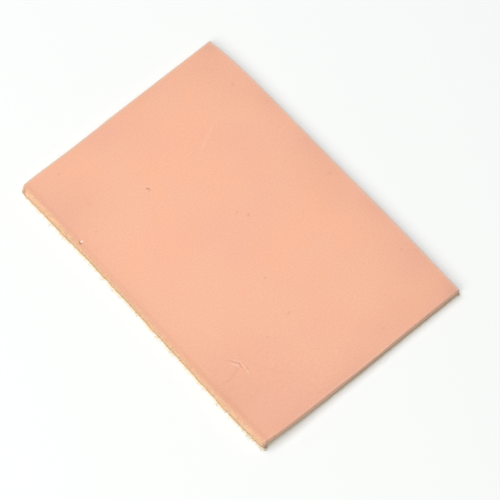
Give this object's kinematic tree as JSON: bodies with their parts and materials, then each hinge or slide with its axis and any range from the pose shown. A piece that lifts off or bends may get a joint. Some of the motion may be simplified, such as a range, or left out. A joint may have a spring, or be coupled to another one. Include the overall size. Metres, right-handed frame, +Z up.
{
  "type": "tooling leather",
  "caption": "Flat rectangular cut of thick vegetable-tanned tooling leather, grain side up, with raw cut edges.",
  "frame": {"origin": "on the surface that the leather lies on, under the middle of its bounding box", "axes": "+Z up out of the grain side; Y along the long side, with the front edge towards -Y; X across the short side"},
  "size_m": [0.1048, 0.1514, 0.004],
  "materials": {
    "leather": "natural undyed vegetable-tanned grain, soft low gloss, raw fibrous cut edges"
  },
  "bodies": {
    "root": {"leather_panel": "leather"}
  },
  "joints": []
}
